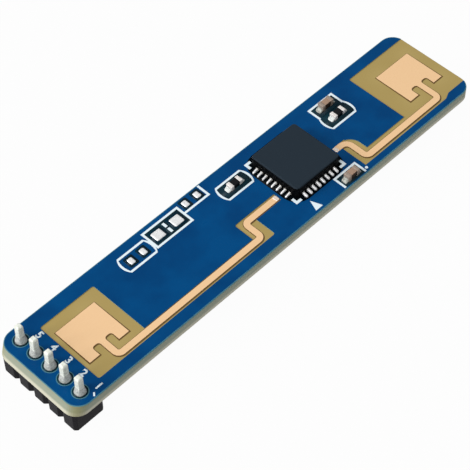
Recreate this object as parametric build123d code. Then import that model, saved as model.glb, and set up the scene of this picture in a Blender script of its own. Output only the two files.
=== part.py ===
"""A narrow radar sensor board with two patch antennas, a radar chip and a five-pin header strip.

Millimetres, +Z up out of the component side. The origin is the middle of the pin row on the lower face
of the header's insulator, and +X runs along the board to its far end.
"""
from build123d import *
import os

# Board
board_length = 35.0
board_width = 7.0
board_corner_radius = 1.0
near_end_slant = 0.22
laminate_thickness = 0.8
copper_thickness = 0.035
upper_lacquer_thickness = 0.05
lower_lacquer_thickness = 0.02
lacquer_setback = 0.04
plane_setback = 0.3

# Header strip
pin_pitch = 1.27
pin_side = 0.4
pin_tip_bevel = 0.1
pin_above_board = 1.45
pin_below_strip = 0.6
pin_row_from_end = 1.08
strip_width = 2.3
strip_height = 1.5
strip_notch_depth = 0.25
strip_notch_half_width = 0.25
strip_corner_bevel = 0.18

# Plated holes and their solder
hole_clearance = 0.067
barrel_wall = 0.025
barrel_sides = 12
ring_width = 0.1
ring_window_margin = 0.05
plane_gap = 0.1
plane_bridge = 0.02
joint_foot_radius = 0.36
joint_height = 0.55
joint_coat = 0.04

# Patch antennas and feed lines
patch_length = 3.1
patch_width = 3.0
patch_slot_width = 0.55
patch_slot_depth = 0.7
patch_slot_end_radius = 0.2
line_width = 0.43
line_bend_radius = 0.32
near_patch_from_end = 4.34
far_patch_from_end = 2.34
near_run_from_edge = 1.23
far_run_from_edge = 0.935
near_jog_from_chip = 5.61
far_jog_from_chip = 3.69
far_jog_bend_radius = 0.5
near_tip_from_land = 0.28
far_tip_from_land = 0.17
line_tip_radius = 0.1

# Windows in the upper lacquer, as margins beyond the copper that they show
window_corner_radius = 0.15
near_window_header_margin = 0.38
near_window_chip_margin = 0.76
near_window_side_margin = 0.91
near_run_upper_margin = 0.05
near_run_lower_margin = 0.185
near_jog_header_margin = 0.33
near_jog_chip_margin = 0.52
near_tip_upper_margin = 0.115
near_tip_lower_margin = 0.085
far_window_chip_margin = 1.36
far_window_side_margin = 1.17
far_window_edge_margin = 1.28
far_run_upper_margin = 0.27
far_run_lower_margin = 0.22
far_jog_chip_margin = 0.4
far_jog_end_margin = 0.34
far_jog_window_radius = 0.9
far_run_bevel = 0.5

# Radar chip
chip_side = 4.0
chip_height = 0.85
chip_from_middle = 3.73
chip_off_axis = 0.2
contacts_per_side = 8
contact_pitch = 0.4
contact_width = 0.2
contact_length = 0.4
lead_frame_thickness = 0.2
ground_pad_side = 2.7
die_side = 2.0
die_thickness = 0.25
feed_contact = 1

# Lands and solder
contact_land_width = 0.22
contact_land_overhang = 0.4
land_window_margin = 0.05
solder_gap = 0.035
solder_knee = 0.3
contact_solder_climb = 0.2

# Chip capacitors and resistors, all of one plan size
small_part_length = 1.0
small_part_width = 0.5
capacitor_height = 0.5
resistor_height = 0.35
end_cap_length = 0.25
end_cap_wall = 0.02
end_cap_bevel = 0.035
small_land_length = 0.5
small_land_width = 0.6
small_land_pitch = 1.0
large_land_length = 0.87
large_land_width = 0.8
large_land_pitch = 1.56
small_part_climb = 0.6
pad_tin_thickness = 0.07
pad_tin_bevel = 0.045

# Places of the small parts, from the chip's middle
left_resistor_place = (-3.85, 1.58)
pair_resistor_place = (4.99, 0.92)
pair_capacitor_place = (4.99, 1.98)
edge_capacitor_place = (1.75, -3.18)

# Places of the empty pads: the diode's by its share of the way from the chip to the near window, its two
# neighbours' from the diode's, and all three in from the upper edge
empty_diode_share = 0.596
empty_diode_from_edge = 1.115
empty_resistor_from_diode = 2.81152
empty_resistor_from_edge = 1.38
empty_capacitor_from_diode = 2.58232
empty_capacitor_from_edge = 0.57

# Printed marks
print_thickness = 0.02
print_line = 0.15
resistor_outline_length = 2.12
resistor_outline_width = 1.22
resistor_outline_bulge = 0.17
diode_outline_length = 2.94
diode_outline_width = 1.39
pair_outline_length = 2.12
pair_outline_width = 0.94
polarity_dash_length = 0.37
polarity_dash_width = 0.18
polarity_dash_gap = 0.13
edge_outline_half_length = 0.935
edge_outline_rise = 0.58
edge_outline_drop = 0.3
empty_outline_reach = 1.02
empty_outline_rise = 0.4
empty_outline_drop = 0.51
corner_mark_from_chip = 0.19
corner_mark_length = 0.5
corner_mark_line = 0.19
triangle_width = 0.6
triangle_height = 0.8
triangle_from_land = 0.27
triangle_from_contact = 0.12
dot_radius = 0.1
dot_from_part = 1.19
dot_drop = 0.2
pin_tick_length = 0.26
pin_tick_width = 0.1
pin_tick_place = (0.41, 0.24)
pin_tick_turn = 50

# Heights, from the strip's lower face upward
strip_top = strip_height
laminate_bottom = strip_top + lower_lacquer_thickness + copper_thickness
laminate_top = laminate_bottom + laminate_thickness
copper_top = laminate_top + copper_thickness
board_top = laminate_top + upper_lacquer_thickness
part_seat = copper_top + solder_gap

# Places along and across the board
near_end = -pin_row_from_end
far_end = near_end + board_length
half_width = board_width / 2
near_patch_x = near_end + near_patch_from_end
far_patch_x = far_end - far_patch_from_end
near_run_y = -half_width + near_run_from_edge
far_run_y = -half_width + far_run_from_edge
near_window_end = near_patch_x + patch_length / 2 + near_window_chip_margin
far_window_start = far_patch_x - patch_length / 2 - far_window_chip_margin
chip_x = (near_window_end + far_window_start) / 2 + chip_from_middle
chip_y = chip_off_axis
contact_row_end = (contacts_per_side - 1) / 2
feed_y = chip_y + (feed_contact - contact_row_end) * contact_pitch
land_reach = chip_side / 2 + contact_land_overhang
near_jog_x = chip_x - near_jog_from_chip
far_jog_x = chip_x + far_jog_from_chip
near_tip_x = chip_x - land_reach - near_tip_from_land
far_tip_x = chip_x + land_reach + far_tip_from_land
feed_top_y = -patch_width / 2 + patch_slot_depth

# Plated holes, as many as the board's width holds with a bridge of the ground plane past both ends of the row
bore_radius = pin_side / 2 ** 0.5 + hole_clearance
drill_radius = bore_radius + barrel_wall
ring_radius = drill_radius + ring_width
row_end_room = ring_radius + plane_gap + plane_bridge + plane_setback
pin_count = int((board_width - 2 * row_end_room) / pin_pitch) + 1
pin_places = [(i - (pin_count - 1) / 2) * pin_pitch for i in range(pin_count)]


def rectangle(x0, x1, y0, y1):
    """A flat rectangle from its two corners."""
    return Pos((x0 + x1) / 2, (y0 + y1) / 2) * Rectangle(abs(x1 - x0), abs(y1 - y0))


def plate(outline, bottom, top):
    """A flat outline raised from one height to another."""
    return extrude(Pos(0, 0, bottom) * outline, amount=top - bottom)


def block(x0, x1, y0, y1, z0, z1):
    """A square-edged block from its two corners."""
    return plate(rectangle(x0, x1, y0, y1), z0, z1)


def group(solids):
    """Separate solids that belong to one sub-part."""
    return Compound(children=[s for item in solids for s in item.solids()])


def rounded(outline, *corners, radius=window_corner_radius):
    """A flat outline with the corners nearest the given points rounded."""
    picked = [min(outline.vertices(), key=lambda v: (v.X - x) ** 2 + (v.Y - y) ** 2) for x, y in corners]
    return fillet(picked, radius)


def at_pins(outline):
    """The same flat outline at each pin of the header."""
    return [Pos(0, y) * outline for y in pin_places]


def bore():
    """Flat outline of a plated hole's bore, with few sides because it is sealed in the board."""
    return RegularPolygon(bore_radius, barrel_sides)


def drilled():
    """Flat outline of a drilled hole, which the barrel fills."""
    return RegularPolygon(drill_radius, barrel_sides)


def board_outline(setback, slant=0):
    """The board's rounded outline, drawn in by a setback and carried out past the near end by a slant."""
    outline = RectangleRounded(
        board_length + slant - 2 * setback, board_width - 2 * setback, board_corner_radius - setback
    )
    return Pos((near_end - slant + far_end) / 2, 0) * outline


def laminate():
    """Glass-fibre board, drilled for the plated holes, its near end cut on a slant out to the underside."""
    lower = Pos(0, 0, laminate_bottom) * board_outline(0, near_end_slant)
    upper = Pos(0, 0, laminate_top) * board_outline(0)
    holes = [plate(hole, laminate_bottom, laminate_top) for hole in at_pins(drilled())]
    return loft([lower, upper], ruled=True) - holes


def row_opening(margin):
    """One long opening round all the rings, with round ends."""
    reach = ring_radius + margin
    return Rot(0, 0, 90) * SlotCenterToCenter((pin_count - 1) * pin_pitch, 2 * reach)


def ground_plane():
    """Copper under the laminate, cleared round the row of plated holes."""
    outline = board_outline(plane_setback) - row_opening(plane_gap)
    return plate(outline, laminate_bottom - copper_thickness, laminate_bottom)


def lower_lacquer():
    """Lacquer that covers the ground plane and its rim, open along the row of plated holes."""
    outline = board_outline(lacquer_setback) - row_opening(ring_window_margin)
    return plate(outline, strip_top, laminate_bottom) - ground_plane()


def plated_hole(y):
    """Copper barrel with a ring on each side of the laminate."""
    ring = Circle(ring_radius) - bore()
    lower_ring = plate(ring, laminate_bottom - copper_thickness, laminate_bottom)
    upper_ring = plate(ring, laminate_top, copper_top)
    barrel = plate(drilled() - bore(), laminate_bottom, laminate_top)
    return Pos(0, y) * (lower_ring + barrel + upper_ring)


def header_pin(y):
    """Square pin with bevelled ends, from under the strip to above the board."""
    low = -pin_below_strip
    high = board_top + pin_above_board
    half = pin_side / 2
    bar = block(-half, half, -half, half, low, high)
    ends = bar.edges().filter_by(Axis.Z, reverse=True)
    return Pos(0, y) * chamfer(ends, pin_tip_bevel)


def knee(foot, top):
    """Where the hollow flank of the solder bends, between its foot on a land and its top on a wall."""
    return (top[0] + solder_knee * (foot[0] - top[0]), foot[1] + solder_knee * (top[1] - foot[1]))


def pin_joint(y):
    """Solder that fills the barrel round the pin and rises up it in a hollow cone."""
    foot = (joint_foot_radius, copper_top)
    top = (pin_side / 2 + joint_coat, copper_top + joint_height)
    profile = Polyline(foot, knee(foot, top), top, (0, top[1]), (0, copper_top), close=True)
    cone = revolve(Plane.XZ * make_face(profile), Axis.Z)
    filling = plate(bore(), laminate_bottom - copper_thickness, copper_top)
    half = pin_side / 2
    return Pos(0, y) * (cone + filling - block(-half, half, -half, half, 0, board_top + pin_above_board))


def header_strip():
    """Insulator with a notch between neighbouring pins on both sides, so that it can be snapped."""
    half_length = pin_count * pin_pitch / 2
    half = strip_width / 2
    body = chamfer(Rectangle(strip_width, 2 * half_length).vertices(), strip_corner_bevel)
    notch = make_face(
        Polyline(
            (half - strip_notch_depth, 0),
            (half + strip_notch_depth, 2 * strip_notch_half_width),
            (half + strip_notch_depth, -2 * strip_notch_half_width),
            close=True,
        )
    )
    for i in range(1, pin_count):
        body -= Pos(0, i * pin_pitch - half_length) * notch
        body -= Pos(0, i * pin_pitch - half_length) * mirror(notch, Plane.YZ)
    return plate(body - at_pins(Rectangle(pin_side, pin_side)), 0, strip_top)


def patch(x, turn_points, bends):
    """Antenna patch with a slot each side of its inset feed, and the line that follows the points."""
    left = x - patch_length / 2
    low = -patch_width / 2
    face = rectangle(left, left + patch_length, low, -low)
    for side in (-1, 1):
        inner = x + side * line_width / 2
        outer = inner + side * patch_slot_width
        slot = rectangle(inner, outer, low, feed_top_y)
        face -= rounded(slot, (inner, feed_top_y), (outer, feed_top_y), radius=patch_slot_end_radius)
    line = trace(FilletPolyline((x, feed_top_y), *turn_points, radius=bends), line_width)
    tip_x, tip_y = turn_points[-1]
    tip_corners = [(tip_x, tip_y - line_width), (tip_x, tip_y + line_width)]
    return face + rounded(line, *tip_corners, radius=line_tip_radius)


def antenna(patch_x, run_y, jog_x, tip_x, land_x, bends):
    """Patch, its line with two bends and a jog, and a neck under the lacquer to the chip's land."""
    points = [(patch_x, run_y), (jog_x, run_y), (jog_x, feed_y), (tip_x, feed_y)]
    half_neck = contact_land_width / 2
    outline = patch(patch_x, points, bends) + rectangle(tip_x, land_x, feed_y - half_neck, feed_y + half_neck)
    return plate(outline, laminate_top, copper_top)


def near_antenna():
    """Antenna at the header's end of the board."""
    bends = [line_bend_radius] * 3
    return antenna(near_patch_x, near_run_y, near_jog_x, near_tip_x, chip_x - land_reach, bends)


def far_antenna():
    """Antenna at the board's far end, with a wider bend beside the chip."""
    bends = [line_bend_radius, line_bend_radius, far_jog_bend_radius]
    return antenna(far_patch_x, far_run_y, far_jog_x, far_tip_x, chip_x + land_reach, bends)


def near_window():
    """Opening over the near patch, along its line and round the jog."""
    half = line_width / 2
    low = near_run_y - half - near_run_lower_margin
    top = patch_width / 2 + near_window_side_margin
    left = near_patch_x - patch_length / 2 - near_window_header_margin
    jog_left = near_jog_x - half - near_jog_header_margin
    jog_right = near_jog_x + half + near_jog_chip_margin
    tip_top = feed_y + half + near_tip_upper_margin
    over_patch = rectangle(left, near_window_end, low, top)
    round_jog = rectangle(jog_left, jog_right, low, tip_top)
    opening = rounded(over_patch, (left, low), (left, top), (near_window_end, top))
    opening += rounded(round_jog, (jog_left, tip_top), (jog_right, low))
    opening += rectangle(near_window_end, jog_left, low, near_run_y + half + near_run_upper_margin)
    opening += rectangle(jog_right, near_tip_x, feed_y - half - near_tip_lower_margin, tip_top)
    return opening


def far_window():
    """Opening over the far patch, along its line and round the jog, and out over the board's end."""
    half = line_width / 2
    left = far_window_start
    low = -patch_width / 2 - far_window_edge_margin
    run_low = far_run_y - half - far_run_lower_margin
    feed_right = far_patch_x + half + far_run_bevel
    top = patch_width / 2 + far_window_side_margin
    opening = rounded(rectangle(left, far_end, low, top), (left, top))
    run = Polyline(
        (far_jog_x, run_low),
        (feed_right - far_run_bevel, run_low),
        (feed_right, low),
        (feed_right, far_run_y + half + far_run_upper_margin),
        (far_jog_x, far_run_y + half + far_run_upper_margin),
        close=True,
    )
    opening += make_face(run)
    jog_left = far_jog_x - half - far_jog_chip_margin
    jog_right = far_jog_x + half + far_jog_end_margin
    jog = rectangle(jog_left, jog_right, run_low, feed_y + half)
    opening += rounded(jog, (jog_right, feed_y + half), radius=far_jog_window_radius)
    opening += rectangle(far_tip_x, far_jog_x, feed_y - half, feed_y + half)
    return opening


def round_chip(item):
    """The same item at each contact, drawn for the chip's +X side and turned to all four sides."""
    row = [Pos(0, (i - contact_row_end) * contact_pitch) * item for i in range(contacts_per_side)]
    return [Pos(chip_x, chip_y) * Rot(0, 0, 90 * side) * copy for side in range(4) for copy in row]


def contact_land(margin):
    """Flat outline of one contact's land."""
    half = contact_land_width / 2 + margin
    return rectangle(chip_side / 2 - contact_length - margin, land_reach + margin, -half, half)


def ground_land(margin):
    """Flat outline of the land under the chip's ground pad."""
    side = ground_pad_side + 2 * margin
    return Pos(chip_x, chip_y) * Rectangle(side, side)


def chip_lands():
    """Copper under the chip, one land for each contact and one for the ground pad."""
    outlines = round_chip(contact_land(0)) + [ground_land(0)]
    return group(plate(o, laminate_top, copper_top) for o in outlines)


def chip_contact():
    """One contact of the lead frame, flush with the chip's side and underside."""
    half = contact_width / 2
    outer = chip_side / 2
    return block(outer - contact_length, outer, -half, half, part_seat, part_seat + lead_frame_thickness)


def chip_contacts():
    """All edge contacts of the lead frame."""
    return group(round_chip(chip_contact()))


def chip_ground_pad():
    """Ground pad of the lead frame, flush with the chip's underside."""
    return plate(ground_land(0), part_seat, part_seat + lead_frame_thickness)


def chip_die():
    """Silicon die on the ground pad, inside the moulding."""
    floor = part_seat + lead_frame_thickness
    return plate(Pos(chip_x, chip_y) * Rectangle(die_side, die_side), floor, floor + die_thickness)


def chip_body():
    """Moulded body round the lead frame and the die."""
    outline = Pos(chip_x, chip_y) * Rectangle(chip_side, chip_side)
    body = plate(outline, part_seat, part_seat + chip_height)
    return body - round_chip(chip_contact()) - chip_ground_pad() - chip_die()


def solder_wedge(inner, wall, outer, width, climb):
    """Solder under a part's end and up its face, with a hollow flank from the land's outer end."""
    foot = (outer, copper_top)
    top = (wall, part_seat + climb)
    flank = (foot, knee(foot, top), top)
    profile = Polyline(*flank, (wall, part_seat), (inner, part_seat), (inner, copper_top), close=True)
    return Pos(0, width / 2) * extrude(Plane.XZ * make_face(profile), amount=width)


def chip_solder():
    """Solder at every contact, and under the ground pad."""
    half = chip_side / 2
    wedge = solder_wedge(half - contact_length, half, land_reach, contact_width, contact_solder_climb)
    return group(round_chip(wedge) + [plate(ground_land(0), copper_top, part_seat)])


def part_places():
    """Middle of each small part that is fitted."""
    offsets = (left_resistor_place, pair_resistor_place, pair_capacitor_place, edge_capacitor_place)
    return [(chip_x + dx, chip_y + dy) for dx, dy in offsets]


def empty_places():
    """Middle of each empty place."""
    diode_x = chip_x - empty_diode_share * (chip_x - near_window_end)
    return [
        (diode_x - empty_resistor_from_diode, half_width - empty_resistor_from_edge),
        (diode_x, half_width - empty_diode_from_edge),
        (diode_x + empty_capacitor_from_diode, half_width - empty_capacitor_from_edge),
    ]


def land_pair(place, length, width, pitch):
    """The two lands of a small part."""
    x, y = place
    return [Pos(x + side * pitch / 2, y) * Rectangle(length, width) for side in (-1, 1)]


def empty_lands(margin):
    """Flat outlines of the lands at the empty places."""
    resistor, diode, capacitor = empty_places()
    grow = 2 * margin
    small = (small_land_length + grow, small_land_width + grow, small_land_pitch)
    large = (large_land_length + grow, large_land_width + grow, large_land_pitch)
    return land_pair(resistor, *small) + land_pair(diode, *large) + land_pair(capacitor, *small)


def fitted_lands(margin):
    """Flat outlines of the lands under the fitted small parts."""
    size = (small_land_length + 2 * margin, small_land_width + 2 * margin, small_land_pitch)
    return [land for place in part_places() for land in land_pair(place, *size)]


def part_lands():
    """Copper lands of the small parts, fitted and empty."""
    return group(plate(o, laminate_top, copper_top) for o in fitted_lands(0) + empty_lands(0))


def empty_pad_tin():
    """A low cushion of tin on each empty land."""
    cushions = []
    for outline in empty_lands(0):
        slab = plate(outline, copper_top, copper_top + pad_tin_thickness)
        cushions.append(chamfer(slab.faces().sort_by(Axis.Z)[-1].edges(), pad_tin_bevel))
    return group(cushions)


def small_part_body(place, height):
    """Ceramic body of a capacitor or resistor, thinner by the end caps' wall."""
    x, y = place
    half = small_part_length / 2 - end_cap_wall
    side = small_part_width / 2 - end_cap_wall
    return block(
        x - half, x + half, y - side, y + side, part_seat + end_cap_wall, part_seat + height - end_cap_wall
    )


def small_part_caps(place, height):
    """End caps that wrap round both ends of the body."""
    x, y = place
    half = small_part_length / 2
    side = small_part_width / 2
    bar = block(x - half, x + half, y - side, y + side, part_seat, part_seat + height)
    bar = chamfer(bar.edges(), end_cap_bevel)
    gap = half - end_cap_length
    middle = block(x - gap, x + gap, y - side, y + side, part_seat, part_seat + height)
    return group([bar - middle - small_part_body(place, height)])


def small_part_solder(place, height):
    """Solder under both ends and up the end faces."""
    x, y = place
    half = small_part_length / 2
    outer = small_land_pitch / 2 + small_land_length / 2
    width = small_part_width - 2 * end_cap_bevel
    wedge = solder_wedge(half - end_cap_length, half, outer, width, height * small_part_climb)
    return group(Pos(x, y) * Rot(0, 0, turn) * wedge for turn in (0, 180))


def upper_lacquer():
    """Lacquer over the laminate, open at the antennas, the plated holes and every land."""
    outline = board_outline(lacquer_setback) - near_window() - far_window()
    outline -= at_pins(Circle(ring_radius + ring_window_margin))
    margin = land_window_margin
    outline -= round_chip(contact_land(margin)) + [ground_land(margin)]
    outline -= fitted_lands(margin) + empty_lands(margin)
    return plate(outline, laminate_top, board_top) - near_antenna() - far_antenna()


def diode_outline(place):
    """Printed rectangle round the diode's place."""
    outer = Rectangle(diode_outline_length + print_line, diode_outline_width + print_line)
    return Pos(*place) * (outer - Rectangle(diode_outline_length - print_line, diode_outline_width - print_line))


def barrel_shape(grow):
    """Flat shape with straight long sides and bulging ends, drawn outward by a margin."""
    half = resistor_outline_length / 2
    top = resistor_outline_width / 2 + grow
    tip = half + resistor_outline_bulge + grow
    sides = [
        Line((-half, top), (half, top)),
        ThreePointArc((half, top), (tip, 0), (half, -top)),
        Line((half, -top), (-half, -top)),
        ThreePointArc((-half, -top), (-tip, 0), (-half, top)),
    ]
    return make_face(sides)


def barrel_outline(place):
    """Printed outline of a resistor's place."""
    return Pos(*place) * (barrel_shape(print_line / 2) - barrel_shape(-print_line / 2))


def pair_outline(resistor, capacitor):
    """One printed outline round a resistor and the capacitor beside it, square at the capacitor's end."""
    shapes = []
    for grow in (print_line / 2, -print_line / 2):
        half = pair_outline_length / 2 + grow
        top = capacitor[1] + pair_outline_width / 2 + grow
        shape = rectangle(resistor[0] - half, resistor[0] + half, resistor[1], top)
        shapes.append(shape + Pos(*resistor) * barrel_shape(grow))
    return shapes[0] - shapes[1]


def stroke(*points):
    """Printed line with square corners through the given points."""
    half = print_line / 2
    lines = Sketch()
    for (x0, y0), (x1, y1) in zip(points, points[1:]):
        lines += rectangle(min(x0, x1) - half, max(x0, x1) + half, min(y0, y1) - half, max(y0, y1) + half)
    return lines


def chip_marks():
    """Printed angle at each corner of the chip, and the triangle at its first contact."""
    corner = chip_side / 2 + corner_mark_from_chip + corner_mark_line / 2
    inner = corner - corner_mark_length
    mark = rectangle(inner, corner, corner - corner_mark_line, corner)
    mark += rectangle(corner - corner_mark_line, corner, inner, corner)
    marks = [Pos(chip_x, chip_y) * Rot(0, 0, 90 * side) * mark for side in range(4)]
    apex_x = chip_x - contact_row_end * contact_pitch - triangle_from_contact
    apex_y = chip_y - land_reach - triangle_from_land
    low = apex_y - triangle_height
    triangle = Polyline(
        (apex_x, apex_y), (apex_x - triangle_width / 2, low), (apex_x + triangle_width / 2, low), close=True
    )
    return marks + [make_face(triangle)]


def pin_tick():
    """Printed dash beside the first pin."""
    x, inset = pin_tick_place
    return Pos(x, inset - half_width) * Rot(0, 0, pin_tick_turn) * Rectangle(pin_tick_length, pin_tick_width)


def polarity_dashes(place):
    """Two printed dashes between the diode's lands."""
    step = (polarity_dash_length + polarity_dash_gap) / 2
    dash = Rectangle(polarity_dash_width, polarity_dash_length)
    return [Pos(place[0], place[1] + side * step) * dash for side in (-1, 1)]


def edge_capacitor_marks(place):
    """Printed angle round the capacitor at the lower long edge, open to that edge, and its dot."""
    x, y = place
    left = x - edge_outline_half_length
    right = x + edge_outline_half_length
    top = y + edge_outline_rise
    low = y - edge_outline_drop
    dot = Pos(x + dot_from_part, y - dot_drop) * Circle(dot_radius)
    return [stroke((left, low), (left, top), (right, top), (right, low)), dot]


def empty_capacitor_mark(place, start):
    """Printed angle round the empty place at the upper long edge, from its neighbour's outline."""
    x, y = place
    right = x + empty_outline_reach
    low = y - empty_outline_drop
    return stroke((start, low), (right, low), (right, y + empty_outline_rise))


def printed_marks():
    """White print on the upper lacquer."""
    left_resistor, pair_resistor, pair_capacitor, edge_capacitor = part_places()
    empty_resistor, empty_diode, empty_capacitor = empty_places()
    marks = barrel_outline(left_resistor) + barrel_outline(empty_resistor)
    marks += pair_outline(pair_resistor, pair_capacitor) + diode_outline(empty_diode) + [pin_tick()]
    marks += empty_capacitor_mark(empty_capacitor, empty_diode[0] + diode_outline_length / 2)
    marks += polarity_dashes(empty_diode) + edge_capacitor_marks(edge_capacitor) + chip_marks()
    return group([plate(marks, board_top, board_top + print_thickness)])


nodes = {
    "laminate": laminate(),
    "ground_plane": ground_plane(),
    "lower_lacquer": lower_lacquer(),
    "upper_lacquer": upper_lacquer(),
    "near_antenna": near_antenna(),
    "far_antenna": far_antenna(),
    "part_lands": part_lands(),
    "empty_pad_tin": empty_pad_tin(),
    "printed_marks": printed_marks(),
    "chip_lands": chip_lands(),
    "chip_solder": chip_solder(),
    "chip_contacts": chip_contacts(),
    "chip_ground_pad": chip_ground_pad(),
    "chip_die": chip_die(),
    "chip_body": chip_body(),
    "header_strip": header_strip(),
}
for number, y in enumerate(pin_places, start=1):
    nodes[f"header_pin_{number}"] = header_pin(y)
    nodes[f"plated_hole_{number}"] = plated_hole(y)
    nodes[f"pin_joint_{number}"] = pin_joint(y)
small_part_names = ("left_resistor", "pair_resistor", "pair_capacitor", "edge_capacitor")
for part_name, part_place in zip(small_part_names, part_places()):
    part_height = capacitor_height if "capacitor" in part_name else resistor_height
    nodes[f"{part_name}_body"] = small_part_body(part_place, part_height)
    nodes[f"{part_name}_caps"] = small_part_caps(part_place, part_height)
    nodes[f"{part_name}_solder"] = small_part_solder(part_place, part_height)

os.makedirs("parts", exist_ok=True)
for node_name, solid in nodes.items():
    export_step(solid, f"parts/{node_name}.step")
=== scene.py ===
"""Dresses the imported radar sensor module: finishes, fine pieces, lights and camera.

Lengths are in millimetres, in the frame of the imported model, and turn to metres as a mesh is made.
"""

import logging
from collections.abc import Iterator
from contextlib import contextmanager
from dataclasses import dataclass
from enum import Enum

import bmesh
import bpy
import numpy as np
from mathutils import Matrix, Vector

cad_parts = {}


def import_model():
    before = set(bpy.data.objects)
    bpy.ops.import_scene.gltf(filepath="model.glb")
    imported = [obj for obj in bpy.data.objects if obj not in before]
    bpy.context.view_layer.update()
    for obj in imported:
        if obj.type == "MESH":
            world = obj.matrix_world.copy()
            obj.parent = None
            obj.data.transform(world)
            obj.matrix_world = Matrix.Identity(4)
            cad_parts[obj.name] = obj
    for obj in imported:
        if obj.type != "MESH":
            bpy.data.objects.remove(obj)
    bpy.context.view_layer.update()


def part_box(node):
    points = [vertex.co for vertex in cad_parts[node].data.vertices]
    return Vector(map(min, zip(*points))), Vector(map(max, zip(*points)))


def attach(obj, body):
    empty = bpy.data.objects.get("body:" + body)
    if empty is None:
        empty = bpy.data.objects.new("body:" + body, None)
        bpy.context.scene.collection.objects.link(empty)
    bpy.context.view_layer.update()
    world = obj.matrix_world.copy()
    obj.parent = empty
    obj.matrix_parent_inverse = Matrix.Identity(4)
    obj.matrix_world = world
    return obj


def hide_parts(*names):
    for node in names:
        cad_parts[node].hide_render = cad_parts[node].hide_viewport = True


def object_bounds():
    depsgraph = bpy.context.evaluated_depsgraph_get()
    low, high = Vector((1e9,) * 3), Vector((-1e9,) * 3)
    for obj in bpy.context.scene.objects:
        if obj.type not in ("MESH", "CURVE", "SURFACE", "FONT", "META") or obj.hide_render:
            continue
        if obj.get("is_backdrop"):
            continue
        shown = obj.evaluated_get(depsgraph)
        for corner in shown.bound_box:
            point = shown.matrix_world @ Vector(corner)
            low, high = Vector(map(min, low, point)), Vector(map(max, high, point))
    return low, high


MM = 0.001
log = logging.getLogger("radar_module")

# Sockets of a Mix node in its colour mode: the share, both colours and the result.
SHARE, FIRST, SECOND, MIXED = 0, 6, 7, 2

# A wave texture turns by this angle over one unit of its scaled place. A pattern is divided by it alone, so
# its bands come out 2 pi times as wide as the size named, because at that size they are too fine to show.
WAVE_TURN = 20


def linear(colour: str) -> tuple[float, float, float, float]:
    """Turns a written colour into the linear values that Blender shades with.

    Args:
        colour: sRGB as six hex digits after a hash.

    Returns:
        Linear red, green, blue and an alpha of one.
    """
    shares = np.array([int(colour[i:i + 2], 16) for i in (1, 3, 5)]) / 255
    curve = np.where(shares <= 0.04045, shares / 12.92, ((shares + 0.055) / 1.055) ** 2.4)
    return (*curve.tolist(), 1.0)


def per_metre(size: float) -> float:
    """Returns how often a pattern of this size in millimetres repeats in a metre."""
    return 1 / (size * MM)


def feed(tree: bpy.types.NodeTree, node: bpy.types.Node, inputs: dict) -> None:
    """Sets a node's inputs, or links them.

    Args:
        tree: the node tree that holds the node.
        node: the node.
        inputs: for an input's name or number, its value or the output that feeds it.
    """
    for name, value in inputs.items():
        if isinstance(value, bpy.types.NodeSocket):
            tree.links.new(value, node.inputs[name])
        else:
            node.inputs[name].default_value = value


def add_node(tree: bpy.types.NodeTree, kind: str, inputs: dict | None = None,
             **settings: object) -> bpy.types.Node:
    """Adds one shader node with its settings and links.

    Args:
        tree: the material's node tree.
        kind: the node's type, without the words that all shader nodes start with.
        inputs: for an input's name or number, its value or the output that feeds it.
        settings: properties of the node itself.

    Returns:
        The new node.
    """
    node = tree.nodes.new("ShaderNode" + kind)
    for name, value in settings.items():
        setattr(node, name, value)
    feed(tree, node, inputs or {})
    return node


def side_share(tree: bpy.types.NodeTree, upright_below: float = 0.35,
               level_above: float = 0.75) -> bpy.types.NodeSocket:
    """Gives one on upright faces and zero on level ones.

    Args:
        tree: the material's node tree.
        upright_below: a face whose normal rises less than this counts as upright.
        level_above: a face whose normal rises more than this counts as level.

    Returns:
        The output that holds the share.
    """
    normal = add_node(tree, "SeparateXYZ", {0: add_node(tree, "NewGeometry").outputs["True Normal"]})
    rise = add_node(tree, "Math", {0: normal.outputs["Z"]}, operation="ABSOLUTE")
    share = add_node(tree, "MapRange", {"Value": rise.outputs[0], "From Min": upright_below,
                                        "From Max": level_above, "To Min": 1.0, "To Max": 0.0})
    return share.outputs[0]


# Finishes: one small class for each kind of real surface.


@dataclass(frozen=True)
class Finish:
    """A real material with its surface, made into one Blender material."""

    name: str = "finish"

    def material(self) -> bpy.types.Material:
        """Returns this finish's material, made the first time it is asked for."""
        made = bpy.data.materials.get(self.name)
        if made is None:
            made = bpy.data.materials.new(self.name)
            made.use_nodes = True
            tree = made.node_tree
            tree.nodes.clear()
            shader = add_node(tree, "BsdfPrincipled")
            add_node(tree, "OutputMaterial", {"Surface": shader.outputs["BSDF"]})
            self.paint(tree, shader)
        return made

    def paint(self, tree: bpy.types.NodeTree, shader: bpy.types.Node) -> None:
        """Adds the nodes that give colour, gloss and relief.

        Args:
            tree: the material's node tree.
            shader: its principled shader.
        """
        raise NotImplementedError


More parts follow.
